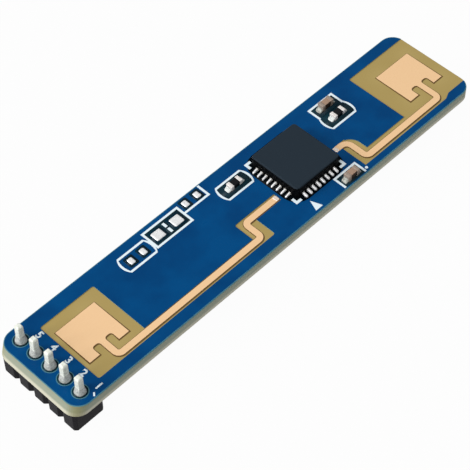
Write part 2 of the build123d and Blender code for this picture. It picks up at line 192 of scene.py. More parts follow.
@dataclass(frozen=True)
class SolderMask(Finish):
    """Photo-imaged epoxy lacquer, curtain coated and cured: deep blue and glossy, with a faint flow."""

    name: str = "solder_mask_cured_epoxy"
    colour: str = "#004a82"
    thick_colour: str = "#003f74"
    edge_colour: str = "#6f9496"
    cloud: float = 2.4
    cloud_span: tuple[float, float] = (0.35, 0.65)
    flow: float = 0.35
    flow_height: float = 0.002
    roughness: tuple[float, float] = (0.24, 0.34)
    mirror: float = 0.08

    def paint(self, tree: bpy.types.NodeTree, shader: bpy.types.Node) -> None:
        """Clouds the blue where the coat is thicker, pales it on the sides of the windows and ripples it.

        Args:
            tree: the material's node tree.
            shader: its principled shader.
        """
        place = add_node(tree, "TexCoord").outputs["Object"]
        cloud = add_node(tree, "TexNoise", {"Vector": place, "Scale": per_metre(self.cloud), "Detail": 4.0})
        thick = add_node(tree, "MapRange", {"Value": cloud.outputs[0], "From Min": self.cloud_span[0],
                                            "From Max": self.cloud_span[1]})
        blue = add_node(tree, "Mix", {SHARE: thick.outputs[0], FIRST: linear(self.colour),
                                      SECOND: linear(self.thick_colour)}, data_type="RGBA")
        whole = add_node(tree, "Mix", {SHARE: side_share(tree), FIRST: blue.outputs[MIXED],
                                       SECOND: linear(self.edge_colour)}, data_type="RGBA")
        flow = add_node(tree, "TexNoise", {"Vector": place, "Scale": per_metre(self.flow), "Detail": 2.0})
        bump = add_node(tree, "Bump", {"Height": flow.outputs[0], "Distance": self.flow_height * MM,
                                       "Strength": 1.0})
        gloss = add_node(tree, "MapRange", {"Value": cloud.outputs[0], "To Min": self.roughness[0],
                                            "To Max": self.roughness[1]})
        feed(tree, shader, {"Base Color": whole.outputs[MIXED], "Roughness": gloss.outputs[0],
                            "Normal": bump.outputs[0], "IOR": 1.5, "Specular IOR Level": self.mirror})


@dataclass(frozen=True)
class GlassEpoxy(Finish):
    """Woven glass pressed in epoxy and routed: olive tan with a faint weave, banded on its cut edge.

    Its threads of 0.42 mm and layers of 0.13 mm are too fine to show, so both are drawn 2 pi times as coarse.
    """

    name: str = "glass_epoxy_laminate_routed"
    resin: str = "#ad9657"
    strand: str = "#b8a264"
    cut_upper: str = "#99a08c"
    cut_lower: str = "#d9d6c0"
    cut_corner: str = "#8f8c5c"
    thread: float = 0.42
    layer: float = 0.13
    grain: float = 0.05
    relief: float = 0.01
    lower_below: float = 0.2
    upper_above: float = 0.5
    corner_span: tuple[float, float] = (0.1, 0.5)
    corner_share: float = 0.8
    band_shade: tuple[float, float] = (0.93, 1.03)

    def paint(self, tree: bpy.types.NodeTree, shader: bpy.types.Node) -> None:
        """Lays crossing threads over the level faces and stacked layers over the routed sides.

        Args:
            tree: the material's node tree.
            shader: its principled shader.
        """
        place = add_node(tree, "TexCoord").outputs["Object"]
        thread_scale = per_metre(self.thread) / WAVE_TURN
        waves = [add_node(tree, "TexWave", {"Vector": place, "Scale": thread_scale, "Distortion": 0.6,
                                            "Detail": 1.0}, bands_direction=way) for way in ("X", "Y")]
        weave = add_node(tree, "Math", {0: waves[0].outputs[1], 1: waves[1].outputs[1]}, operation="MULTIPLY")
        grain = add_node(tree, "TexNoise", {"Vector": place, "Scale": per_metre(self.grain), "Detail": 3.0})
        both = add_node(tree, "Math", {0: weave.outputs[0], 1: grain.outputs[0]}, operation="MULTIPLY")
        woven = add_node(tree, "Mix", {SHARE: both.outputs[0], FIRST: linear(self.resin),
                                       SECOND: linear(self.strand)}, data_type="RGBA")
        whole = add_node(tree, "Mix", {SHARE: side_share(tree), FIRST: woven.outputs[MIXED],
                                       SECOND: self.cut_colour(tree, place)}, data_type="RGBA")
        bump = add_node(tree, "Bump", {"Height": both.outputs[0], "Distance": self.relief * MM,
                                       "Strength": 0.6})
        feed(tree, shader, {"Base Color": whole.outputs[MIXED], "Normal": bump.outputs[0],
                            "Roughness": 0.55, "IOR": 1.5})

    def cut_colour(self, tree: bpy.types.NodeTree, place: bpy.types.NodeSocket) -> bpy.types.NodeSocket:
        """Shades the routed sides: pale below, greyer above, olive round the corners, and banded.

        Args:
            tree: the material's node tree.
            place: the output that holds the object's own coordinates.

        Returns:
            The output that holds the colour.
        """
        low, high = (corner.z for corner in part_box("laminate"))
        height = add_node(tree, "SeparateXYZ", {0: place}).outputs["Z"]
        rise = add_node(tree, "MapRange", {"Value": height, "From Min": low + self.lower_below * (high - low),
                                           "From Max": low + self.upper_above * (high - low)},
                        interpolation_type="SMOOTHSTEP")
        cut = add_node(tree, "Mix", {SHARE: rise.outputs[0], FIRST: linear(self.cut_lower),
                                     SECOND: linear(self.cut_upper)}, data_type="RGBA")
        normal = add_node(tree, "SeparateXYZ", {0: add_node(tree, "NewGeometry").outputs["True Normal"]})
        turn = add_node(tree, "Math", {0: normal.outputs["X"], 1: normal.outputs["Y"]}, operation="MULTIPLY")
        turn = add_node(tree, "Math", {0: turn.outputs[0]}, operation="ABSOLUTE")
        corner = add_node(tree, "MapRange", {"Value": turn.outputs[0], "From Min": self.corner_span[0],
                                             "From Max": self.corner_span[1], "To Max": self.corner_share})
        cut = add_node(tree, "Mix", {SHARE: corner.outputs[0], FIRST: cut.outputs[MIXED],
                                     SECOND: linear(self.cut_corner)}, data_type="RGBA")
        layers = add_node(tree, "TexWave", {"Vector": place, "Scale": per_metre(self.layer) / WAVE_TURN,
                                            "Distortion": 1.5, "Detail": 2.0}, bands_direction="Z")
        shade = add_node(tree, "MapRange", {"Value": layers.outputs[1], "To Min": self.band_shade[0],
                                            "To Max": self.band_shade[1]})
        banded = add_node(tree, "Mix", {SHARE: 1.0, FIRST: cut.outputs[MIXED], SECOND: shade.outputs[0]},
                          data_type="RGBA", blend_type="MULTIPLY")
        return banded.outputs[MIXED]


@dataclass(frozen=True)
class EtchedCopper(Finish):
    """Rolled copper foil, etched and flashed with soft gold: pale peach satin, with darker upright sides."""

    name: str = "copper_foil_gold_flashed"
    colour: str = "#ffd6a5"
    worn: str = "#fccf9c"
    side: str = "#6b4a2c"
    grain: float = 0.12
    grain_stretch: float = 0.35
    relief: float = 0.003
    metallic: float = 0.15
    roughness: float = 0.5

    def paint(self, tree: bpy.types.NodeTree, shader: bpy.types.Node) -> None:
        """Mottles the gold, darkens the upright sides and adds the foil's fine grain along its rolling.

        Args:
            tree: the material's node tree.
            shader: its principled shader.
        """
        place = add_node(tree, "TexCoord").outputs["Object"]
        rolled = add_node(tree, "Mapping", {"Vector": place, "Scale": (self.grain_stretch, 1.0, 1.0)})
        grain = add_node(tree, "TexNoise", {"Vector": rolled.outputs[0], "Scale": per_metre(self.grain),
                                            "Detail": 5.0, "Roughness": 0.65})
        gold = add_node(tree, "Mix", {SHARE: grain.outputs[0], FIRST: linear(self.colour),
                                      SECOND: linear(self.worn)}, data_type="RGBA")
        whole = add_node(tree, "Mix", {SHARE: side_share(tree), FIRST: gold.outputs[MIXED],
                                       SECOND: linear(self.side)}, data_type="RGBA")
        bump = add_node(tree, "Bump", {"Height": grain.outputs[0], "Distance": self.relief * MM,
                                       "Strength": 0.8})
        feed(tree, shader, {"Base Color": whole.outputs[MIXED], "Normal": bump.outputs[0],
                            "Metallic": self.metallic, "Roughness": self.roughness})


@dataclass(frozen=True)
class TinMetal(Finish):
    """A bright tin surface: reflowed solder, plated wire or an end cap, told apart by grain and gloss."""

    name: str = "tin_solder_reflowed"
    colour: str = "#ffffff"
    dull: str = "#ecedee"
    grain: float = 0.09
    relief: float = 0.004
    spot_span: tuple[float, float] = (0.4, 0.7)
    roughness: float = 0.34
    smoother: float = 0.08
    rougher: float = 0.1
    metallic: float = 0.22
    mirror: float = 0.5

    def paint(self, tree: bpy.types.NodeTree, shader: bpy.types.Node) -> None:
        """Dulls the tin in spots and dimples it where the metal froze.

        Args:
            tree: the material's node tree.
            shader: its principled shader.
        """
        place = add_node(tree, "TexCoord").outputs["Object"]
        grain = add_node(tree, "TexNoise", {"Vector": place, "Scale": per_metre(self.grain), "Detail": 3.0})
        spots = add_node(tree, "MapRange", {"Value": grain.outputs[0], "From Min": self.spot_span[0],
                                            "From Max": self.spot_span[1]})
        tin = add_node(tree, "Mix", {SHARE: spots.outputs[0], FIRST: linear(self.colour),
                                     SECOND: linear(self.dull)}, data_type="RGBA")
        gloss = add_node(tree, "MapRange", {"Value": grain.outputs[0],
                                            "To Min": self.roughness - self.smoother,
                                            "To Max": self.roughness + self.rougher})
        bump = add_node(tree, "Bump", {"Height": grain.outputs[0], "Distance": self.relief * MM,
                                       "Strength": 1.0})
        feed(tree, shader, {"Base Color": tin.outputs[MIXED], "Roughness": gloss.outputs[0],
                            "Normal": bump.outputs[0], "Metallic": self.metallic,
                            "Specular IOR Level": self.mirror})


@dataclass(frozen=True)
class Moulded(Finish):
    """A moulded, fired or printed body with a fine matt grain, and sides of a colour of their own, which on
    the chip, the insulator and the capacitors is painted shade.
    """

    name: str = "epoxy_moulding_sides_painted_shade"
    top: str = "#252f38"
    speck: str = "#2a353f"
    side: str = "#030405"
    grain: float = 0.06
    relief: float = 0.004
    roughness: float = 0.55
    uneven: float = 0.06
    mirror: float = 0.05

    def paint(self, tree: bpy.types.NodeTree, shader: bpy.types.Node) -> None:
        """Specks the level faces, gives the upright ones their own colour, painted shade on some bodies, and
        grains both.

        Args:
            tree: the material's node tree.
            shader: its principled shader.
        """
        place = add_node(tree, "TexCoord").outputs["Object"]
        grain = add_node(tree, "TexNoise", {"Vector": place, "Scale": per_metre(self.grain), "Detail": 4.0,
                                            "Roughness": 0.6})
        level = add_node(tree, "Mix", {SHARE: grain.outputs[0], FIRST: linear(self.top),
                                       SECOND: linear(self.speck)}, data_type="RGBA")
        whole = add_node(tree, "Mix", {SHARE: side_share(tree), FIRST: level.outputs[MIXED],
                                       SECOND: linear(self.side)}, data_type="RGBA")
        gloss = add_node(tree, "MapRange", {"Value": grain.outputs[0], "To Min": self.roughness - self.uneven,
                                            "To Max": self.roughness + self.uneven})
        bump = add_node(tree, "Bump", {"Height": grain.outputs[0], "Distance": self.relief * MM,
                                       "Strength": 1.0})
        feed(tree, shader, {"Base Color": whole.outputs[MIXED], "Roughness": gloss.outputs[0],
                            "Normal": bump.outputs[0], "IOR": 1.5, "Specular IOR Level": self.mirror})


@dataclass(frozen=True)
class StudioFloor(Finish):
    """Matt white paper: it takes the object's shadow, and the camera and reflections see it near to white."""

    name: str = "matt_white_paper"
    colour: str = "#b4b4b4"
    shown_white: float = 0.97
    fibre: float = 0.6
    relief: float = 0.01

    def paint(self, tree: bpy.types.NodeTree, shader: bpy.types.Node) -> None:
        """Mixes plain white over the lit paper for rays from the camera, mirrors and glass.

        Args:
            tree: the material's node tree.
            shader: its principled shader.
        """
        place = add_node(tree, "TexCoord").outputs["Object"]
        fibre = add_node(tree, "TexNoise", {"Vector": place, "Scale": per_metre(self.fibre), "Detail": 3.0})
        bump = add_node(tree, "Bump", {"Height": fibre.outputs[0], "Distance": self.relief * MM,
                                       "Strength": 0.3})
        feed(tree, shader, {"Base Color": linear(self.colour), "Normal": bump.outputs[0], "Roughness": 0.9})
        path = add_node(tree, "LightPath")
        seen = add_node(tree, "Math", {0: path.outputs["Is Camera Ray"], 1: path.outputs["Is Glossy Ray"]},
                        operation="MAXIMUM")
        seen = add_node(tree, "Math", {0: seen.outputs[0], 1: path.outputs["Is Transmission Ray"]},
                        operation="MAXIMUM")
        share = add_node(tree, "Math", {0: seen.outputs[0], 1: self.shown_white}, operation="MULTIPLY")
        white = add_node(tree, "Emission", {"Strength": 1.0})
        mixed = add_node(tree, "MixShader", {0: share.outputs[0], 1: shader.outputs[0], 2: white.outputs[0]})
        output = next(node for node in tree.nodes if node.type == "OUTPUT_MATERIAL")
        feed(tree, output, {"Surface": mixed.outputs[0]})


# Cured lacquer over copper: a clear, even blue.
MASK = SolderMask()
# The same lacquer with no copper under it to brighten it: dark green-blue.
BARE_MASK = SolderMask(name="solder_mask_over_bare_laminate", colour="#16353f", thick_colour="#0e2530",
                       edge_colour="#16353f", cloud=0.8)
# Lacquer round each pad, near black: painted shade that stands for the gap round the pad, a dark outline.
PAD_RING_SHADE_MASK = SolderMask(name="solder_mask_painted_shade_at_pads", colour="#042a3b", thick_colour="#032231",
                       edge_colour="#042a3b")
# Lacquer under and round the chip, near black and hardly shiny: painted shade of the chip, between its
# contacts.
CHIP_SHADE_MASK = SolderMask(name="solder_mask_painted_chip_shade", colour="#03080c", thick_colour="#02060a",
                      edge_colour="#03080c", mirror=0.02)
# Lacquer drawn thin over an edge, where the laminate shines through: a pale sea-blue line.
MASK_LIP = SolderMask(name="solder_mask_thin_lip", colour="#4f8291", thick_colour="#407486",
                      edge_colour="#7d9f9c", cloud=0.5)
# Bare laminate, seen in the windows and on the board's edge.
LAMINATE = GlassEpoxy()
# Gold-flashed foil of the antennas: pale peach.
COPPER = EtchedCopper()
# The rims of soldered lands, near black: painted shade that makes a thin dark line round the solder.
LAND_RIM_SHADE = EtchedCopper(name="copper_land_rim_painted_shade", colour="#2b2522", worn="#1d1a19", side="#1d1a19")
# Solder that flowed freely: white and softly bright.
SOLDER = TinMetal()
# A skin of tin over the gold flash: white with a warm tint.
THIN_TIN = TinMetal(name="tin_thin_over_gold_flash", colour="#fdf1e6", dull="#f3dcc6", grain=0.08,
                    metallic=0.15)
# Solder at the resistors: cool grey-white, dimpled.
PART_SOLDER = TinMetal(name="tin_solder_at_resistors", colour="#dfe3e0", dull="#b9bfbd", grain=0.1,
                       relief=0.008, roughness=0.42, metallic=0.1, mirror=0.2)
# Solder at the capacitors: darker, blotched grey.
DULL_SOLDER = TinMetal(name="tin_solder_at_capacitors", colour="#b9bab2", dull="#7f8078", grain=0.14,
                       relief=0.01, roughness=0.5, metallic=0.1, mirror=0.2)
# Wave solder round the pins: matt light grey.
PIN_SOLDER = TinMetal(name="tin_solder_wave_dulled", colour="#d3d5cf", dull="#a9aba5", grain=0.12,
                      relief=0.008, roughness=0.42, metallic=0.06, mirror=0.12)
# Drawn wire with matt tin: near white, softly streaked.
WIRE = TinMetal(name="tin_plated_wire", colour="#f6faf0", dull="#dcdfd2", grain=0.16, relief=0.003,
                roughness=0.38, metallic=0.06, mirror=0.12)
# Barrel-plated resistor ends: warm white.
END_CAP = TinMetal(name="tin_plated_end_cap", colour="#f4f0ec", dull="#d6cfc9", grain=0.07, relief=0.004,
                   roughness=0.4, metallic=0.08, mirror=0.15)
# Fired capacitor ends: dull brown-grey.
FIRED_CAP = TinMetal(name="end_cap_dull_fired", colour="#a9998c", dull="#8a7b6f", grain=0.06, relief=0.003,
                     roughness=0.5, metallic=0.08, mirror=0.15)
# Stamped lead frame under matt tin: light warm grey.
CONTACT = TinMetal(name="tin_plated_lead_frame", colour="#d9d6cc", dull="#b3afa5", grain=0.07, relief=0.002,
                   roughness=0.34)
# Screen-printed ink: flat white with a breath of blue.
INK = Moulded(name="screen_printed_white_ink", top="#f0fbff", speck="#e3f2f9", side="#d6e8f0", grain=0.09,
              relief=0.006, roughness=0.6)
# The chip's moulding: slate top, and sides darkened to near black as painted shade.
CHIP_MOULD = Moulded()
# Moulded insulator: charcoal with a faint sheen, and sides darker as painted shade.
NYLON = Moulded(name="glass_filled_nylon_sides_painted_shade", top="#2a272b", speck="#343136", side="#1c1a1e",
                grain=0.11, relief=0.01, roughness=0.5, mirror=0.06)
# Fired capacitor body: tan top, with sides darkened as painted shade.
CAPACITOR_CERAMIC = Moulded(name="capacitor_ceramic_sides_painted_shade", top="#b0937f", speck="#9b806c", side="#3f342d",
                            grain=0.05, relief=0.004, roughness=0.55)
# Glazed resistor element: black with a little shine.
RESISTOR_GLAZE = Moulded(name="resistor_glaze_fired", top="#08090c", speck="#101318", side="#050608",
                         grain=0.07, relief=0.003, roughness=0.4, mirror=0.25)
# A brown line at the foil's foot: painted shade along its edge, and a painted cast shadow that widens it on
# the -Y side.
FOIL_SHADE_LINE = Moulded(name="foil_foot_painted_shade", top="#775b30", speck="#614821", side="#614821", grain=0.08,
                    relief=0.002, roughness=0.6, mirror=0.3)
# Polished die inside the chip: mid grey.
SILICON = Moulded(name="silicon_die_polished", top="#6f7379", speck="#7b8087", side="#5b5f66", grain=0.2,
                  relief=0.001, roughness=0.2, mirror=0.5)
FLOOR = StudioFloor()


# Meshes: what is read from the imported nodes, swept rings and softened copies.


def in_mm(box: tuple[Vector, Vector]) -> np.ndarray:
    """Returns a box's lowest and highest corner in mm, as an array of 2 x 3."""
    return np.array([np.array(corner) for corner in box]) / MM


def vertex_places(mesh: bpy.types.Mesh) -> np.ndarray:
    """Returns a mesh's vertices in mm, as an array of vertices x 3."""
    places = np.empty(len(mesh.vertices) * 3)
    mesh.vertices.foreach_get("co", places)
    return places.reshape(-1, 3) / MM


def merged_mesh(name: str) -> tuple[np.ndarray, np.ndarray]:
    """Reads a CAD node's mesh with the vertices that share a place merged into one.

    Args:
        name: the CAD node.

    Returns:
        Points in mm and triangles that name them.
    """
    mesh = bpy.data.objects[name].data
    mesh.calc_loop_triangles()
    corners = np.empty(len(mesh.loop_triangles) * 3, dtype=np.int32)
    mesh.loop_triangles.foreach_get("vertices", corners)
    points, same = np.unique(np.round(vertex_places(mesh), 4), axis=0, return_inverse=True)
    return points, same.ravel()[corners].reshape(-1, 3)


def solid_boxes(name: str) -> np.ndarray:
    """Finds the box of each separate solid in a CAD node.

    Every triangle passes the lowest of its three labels on until none changes, so each solid ends with a
    label of its own.

    Args:
        name: the CAD node.

    Returns:
        Lowest and highest corners in mm, as an array of solids x 2 x 3, in order of x and then y.
    """
    points, triangles = merged_mesh(name)
    labels = np.arange(len(points))
    settled = False
    while not settled:
        lowest = np.repeat(labels[triangles].min(axis=1), 3)
        spread = labels.copy()
        np.minimum.at(spread, triangles.ravel(), lowest)
        settled = np.array_equal(spread, labels)
        labels = spread
    boxes = np.array([[points[labels == label].min(axis=0), points[labels == label].max(axis=0)]
                      for label in np.unique(labels)])
    return boxes[np.lexsort((boxes[:, 0, 1], boxes[:, 0, 0]))]


def rounded_outline(half_a: np.ndarray, half_b: np.ndarray, corner: np.ndarray, steps: int = 5) -> np.ndarray:
    """Works out rounded rectangles, one for each entry of the sizes.

    Each corner is a quarter circle whose centre lies the corner radius inside both sides, and straight sides
    join the quarters. With the radius as large as the halves it is a circle.

    Args:
        half_a: half widths.
        half_b: half heights.
        corner: corner radii.
        steps: points on each quarter.

    Returns:
        Outlines as an array of the sizes' shape x points x 2.
    """
    turn = np.radians(90 * np.repeat(np.arange(4), steps) + np.tile(np.linspace(0, 90, steps), 4))
    side_a = np.repeat([1, -1, -1, 1], steps)
    side_b = np.repeat([1, 1, -1, -1], steps)
    half_a, half_b, corner = (np.asarray(size, dtype=float)[..., None] for size in (half_a, half_b, corner))
    return np.stack([side_a * (half_a - corner) + corner * np.cos(turn),
                     side_b * (half_b - corner) + corner * np.sin(turn)], axis=-1)


def at_levels(flat: np.ndarray, levels: np.ndarray) -> np.ndarray:
    """Gives each level outline its height.

    Args:
        flat: outlines, whose last three axes are rings x points x 2.
        levels: heights, whose last axis is rings.

    Returns:
        The same outlines with the height as a third coordinate.
    """
    heights = np.broadcast_to(levels[..., None, None], (*flat.shape[:-1], 1))
    return np.concatenate([flat, heights], axis=-1)


def rounded_block(low: np.ndarray, high: np.ndarray, edge: float, steps: int = 4) -> np.ndarray:
    """Works out blocks whose edges are all rounded by one radius.

    Rounded outlines stand across the x axis. Near both ends the outline draws in along a quarter circle,
    so its inset and its distance from the end follow one minus the sine and one minus the cosine.

    Args:
        low: lowest corners, blocks x 3.
        high: highest corners, blocks x 3.
        edge: edge radius.
        steps: rings on each end's rounding.

    Returns:
        Rings as blocks x rings x points x 3.
    """
    turn = np.radians(np.linspace(8, 90, steps))
    near_end = edge * (1 - np.cos(turn))
    inset = np.concatenate([edge * (1 - np.sin(turn)), edge * (1 - np.sin(turn))[::-1]])
    half = (high - low)[:, None] / 2
    outline = rounded_outline(half[..., 1] - inset, half[..., 2] - inset, edge - inset + 0 * half[..., 0])
    along = np.concatenate([near_end - half[..., 0], (half[..., 0] - near_end)[:, ::-1]], axis=1)
    return (high + low)[:, None, None] / 2 + np.roll(at_levels(outline, along), 1, axis=-1)


def tube_faces(rings: np.ndarray, looped: bool) -> list[list[int]]:
    """Joins rings into closed tubes by quads between neighbouring rings.

    Args:
        rings: tubes x rings x points x 3.
        looped: whether the last ring joins the first. Otherwise one flat face closes each end.

    Returns:
        The faces' vertex numbers.
    """
    index = np.arange(np.prod(rings.shape[:3])).reshape(rings.shape[:3])
    if looped:
        index = np.concatenate([index, index[:, :1]], axis=1)
    turned = np.roll(index, -1, axis=2)
    quads = np.stack([index[:, :-1], turned[:, :-1], turned[:, 1:], index[:, 1:]], axis=-1).reshape(-1, 4)
    ends = [] if looped else np.concatenate([index[:, 0, ::-1], index[:, -1]]).tolist()
    return quads.tolist() + ends


@contextmanager
def opened(mesh: bpy.types.Mesh) -> Iterator[bmesh.types.BMesh]:
    """Opens a mesh for changes and writes them back at the end.

    Args:
        mesh: the mesh to change.

    Yields:
        The mesh in its editable form.
    """
    shell = bmesh.new()
    shell.from_mesh(mesh)
    yield shell
    shell.to_mesh(mesh)
    shell.free()


def new_mesh(name: str, points: np.ndarray, faces: list[list[int]]) -> bpy.types.Mesh:
    """Makes a mesh.

    Args:
        name: its name.
        points: vertices in mm, in any array whose last axis is 3.
        faces: the faces' vertex numbers.

    Returns:
        The mesh, in metres.
    """
    mesh = bpy.data.meshes.new(name)
    mesh.from_pydata((points.reshape(-1, 3) * MM).tolist(), [], faces)
    return mesh


def placed(mesh: bpy.types.Mesh) -> bpy.types.Object:
    """Returns a new object of the mesh in the scene, under the mesh's name."""
    obj = bpy.data.objects.new(mesh.name, mesh)
    bpy.context.scene.collection.objects.link(obj)
    return obj


def tube_object(name: str, rings: np.ndarray, looped: bool = False) -> bpy.types.Object:
    """Makes one smooth object out of closed tubes.

    Args:
        name: the piece's name.
        rings: tubes x rings x points x 3, in mm.
        looped: whether each tube's last ring joins its first.

    Returns:
        The object, with its faces pointing outwards.
    """
    mesh = new_mesh(name, rings, tube_faces(rings, looped))
    with opened(mesh) as shell:
        bmesh.ops.recalc_face_normals(shell, faces=shell.faces)
    mesh.shade_smooth()
    return placed(mesh)


def dress(obj: bpy.types.Object, finish: Finish) -> None:
    """Gives every material slot of an object one finish.

    Args:
        obj: a CAD node or a new piece.
        finish: what it is made of.
    """
    if not obj.material_slots:
        obj.data.materials.append(None)
    for place in obj.material_slots:
        place.material = finish.material()


def dress_nodes(finishes: dict[str, Finish]) -> None:
    """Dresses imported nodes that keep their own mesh, and reports them.

    Args:
        finishes: each node's name and what it is made of.
    """
    for name, finish in finishes.items():
        dress(bpy.data.objects[name], finish)
        log.info("%s: packed piece dressed", name)


def add_piece(obj: bpy.types.Object, finish: Finish, slot: str, *replaced: str) -> None:
    """Dresses a new piece, fixes it to the module and reports it.

    Args:
        obj: the piece, in place.
        finish: what it is made of.
        slot: a material slot's name; not used.
        replaced: CAD nodes that it stands for.
    """
    dress(obj, finish)
    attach(obj, "root")
    if replaced:
        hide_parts(*replaced)
    log.info("%s: %d faces", obj.name, len(obj.data.polygons))


@dataclass(frozen=True)
class SoftCopy:
    """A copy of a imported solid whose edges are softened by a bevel, put in the solid's place."""

    node: str
    piece: str
    width: float
    steps: int = 2
    rim_only: bool = False
    top_share: float = 1.0
    sharp_from: float = 32.0

    def make(self) -> bpy.types.Object:
        """Joins the level triangles first, so that the bevel runs along real edges only.

        Returns:
            The copy, with its bevel live.
        """
        points, triangles = merged_mesh(self.node)
        mesh = new_mesh(self.piece, points, triangles.tolist())
        with opened(mesh) as shell:
            bmesh.ops.dissolve_limit(shell, angle_limit=np.radians(0.5), verts=shell.verts, edges=shell.edges)
        mesh.shade_smooth()
        mesh.set_sharp_from_angle(angle=np.radians(self.sharp_from))
        obj = placed(mesh)
        bevel = obj.modifiers.new("soft_edges", "BEVEL")
        bevel.width = self.width * MM
        bevel.segments = self.steps
        bevel.limit_method = "WEIGHT" if self.rim_only else "ANGLE"
        bevel.angle_limit = np.radians(self.sharp_from)
        bevel.harden_normals = True
        if self.rim_only:
            self.weigh_rim(mesh)
        return obj

    def weigh_rim(self, mesh: bpy.types.Mesh, near: float = 0.01) -> None:
        """Marks the edges round the top and up the four corners, where both ends lie on the box's own sides.

        The corners take the whole width of the bevel, and the edges round the top a share of it.

        Args:
            mesh: the copy's mesh.
            near: how near to the box's side counts as on it.
        """
        places = vertex_places(mesh)
        ends = np.empty(len(mesh.edges) * 2, dtype=np.int32)
        mesh.edges.foreach_get("vertices", ends)
        on_low = (np.abs(places - places.min(axis=0)) < near)[ends].reshape(-1, 2, 3)
        on_high = (np.abs(places - places.max(axis=0)) < near)[ends].reshape(-1, 2, 3)
        on_side = (on_low.all(axis=1) | on_high.all(axis=1))[:, :2]
        round_top = self.top_share * (on_high[:, :, 2].all(axis=1) & on_side.any(axis=1))
        weight = mesh.attributes.new("bevel_weight_edge", "FLOAT", "EDGE")
        weight.data.foreach_set("value", np.where(on_side.all(axis=1), 1.0, round_top).astype(np.float32))


# Sub-assemblies of the module.


@dataclass
class SolderFoot:
    """A foot of solder that runs from the wall of a part out over its land."""

    seed: int
    tail: float = 0.06
    hollow: float = 1.25
    end_round: float = 0.5
    uneven: float = 0.08
    stations: tuple[float, ...] = (0, 0.12, 0.28, 0.45, 0.62, 0.78, 0.9, 0.97, 1)
    last_heights: tuple[float, float] = (0.8, 0.45)
    fullest_turn: float = 0.97

    def rings(self, wall: np.ndarray, outward: np.ndarray, under: np.ndarray, reach: np.ndarray,
              width: np.ndarray, slim: np.ndarray, climb: np.ndarray, gap: float) -> np.ndarray:
        """Works out the feet as rings that stand across the outward way.

        Under the part the foot is a film as high as the gap. From the wall out its height falls from the
        climb to the tail with a power of the way still to go. Both corners of its end are quarter circles.

        Args:
            wall: where each wall meets the land, feet x 3.
            outward: each foot's level way out, feet x 3.
            under: how far each film goes under the part.
            reach: how far each foot goes out.
            width: how wide each foot's solid is.
            slim: share of that width that the solder wets.
            climb: how high it climbs the wall.
            gap: height of the film.

        Returns:
            Rings as feet x rings x points x 3.
        """
        rng = np.random.default_rng(self.seed)
        feet = len(wall)
        swell = 1 - self.uneven * rng.random((feet, 1))
        share = np.array(self.stations)
        out = np.concatenate([-under[:, None], 0 * under[:, None], reach[:, None] * share * swell], axis=1)
        height = self.tail + (climb[:, None] * swell - self.tail) * (1 - share) ** self.hollow
        height = np.concatenate([np.full((feet, 2), gap), height], axis=1)
        half = width[:, None] / 2 * swell * slim[:, None]
        rounding = self.end_round * half
        past = np.clip(1 - (reach[:, None] * swell - out) / rounding, 0, self.fullest_turn)
        halves = half - rounding * (1 - np.sqrt(1 - past ** 2))
        height[:, -2:] *= np.array(self.last_heights)
        corner = np.minimum(0.9 * halves, 0.45 * height)
        outline = rounded_outline(halves, height / 2, corner)
        across = np.stack([-outward[:, 1], outward[:, 0], outward[:, 2]], axis=1)
        up = np.array([0.0, 0.0, 1.0])
        lift = (outline[..., 1] + height[..., None] / 2)[..., None]
        return (wall[:, None, None] + out[..., None, None] * outward[:, None, None]
                + outline[..., :1] * across[:, None, None] + lift * up)


@dataclass(frozen=True)
class PartMake:
    """What one kind of two-ended chip part is made of, and how round the lacquer's patch under it is."""

    body: Finish
    body_slot: str
    cap: Finish
    tin: Finish
    patch_corner: float


class PartKind(Enum):
    """The kinds of two-ended chip part."""

    RESISTOR = PartMake(RESISTOR_GLAZE, "resistor", END_CAP, PART_SOLDER, patch_corner=0.42)
    CAPACITOR = PartMake(CAPACITOR_CERAMIC, "capacitor", FIRED_CAP, DULL_SOLDER, patch_corner=0.05)


@dataclass
class ChipPart:
    """A two-ended chip part that lies along the board: body, end caps and solder.

    The bare reach is how far the darker lacquer goes past the part's solder, along and across the board.
    """

    name: str
    kind: PartKind
    bare_reach: tuple[float, float]
    seed: int
    edge: float = 0.035
    wetted: float = 1.12

    def make(self) -> None:
        """Rounds the body and both end caps, and puts a foot of solder at each end."""
        made_of = self.kind.value
        body = solid_boxes(f"{self.name}_body")
        block = tube_object(f"{self.name}_block", rounded_block(body[:, 0], body[:, 1], self.edge))
        add_piece(block, made_of.body, made_of.body_slot, f"{self.name}_body")
        caps = solid_boxes(f"{self.name}_caps")
        ends = tube_object(f"{self.name}_ends", rounded_block(caps[:, 0], caps[:, 1], self.edge))
        add_piece(ends, made_of.cap, "solder", f"{self.name}_caps")
        feet = tube_object(f"{self.name}_feet", self.feet_rings(caps))
        add_piece(feet, made_of.tin, "solder", f"{self.name}_solder")

    def feet_rings(self, caps: np.ndarray) -> np.ndarray:
        """Works out the foot of solder at each end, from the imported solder's boxes.

        Args:
            caps: the end caps' boxes, 2 x 2 x 3.

        Returns:
            Rings as feet x rings x points x 3.
        """
        boxes = solid_boxes(f"{self.name}_solder")
        outward = np.array([[-1.0, 0.0, 0.0], [1.0, 0.0, 0.0]])
        wall = boxes.mean(axis=1)
        wall[:, 0] = [caps[0, 0, 0], caps[1, 1, 0]]
        wall[:, 2] = boxes[:, 0, 2]
        size = boxes[:, 1] - boxes[:, 0]
        reach = np.array([caps[0, 0, 0] - boxes[0, 0, 0], boxes[1, 1, 0] - caps[1, 1, 0]])
        gap = caps[0, 0, 2] - boxes[0, 0, 2]
        return SolderFoot(self.seed).rings(wall, outward, size[:, 0] - reach, reach, size[:, 1],
                                           np.full(2, self.wetted), size[:, 2], gap)


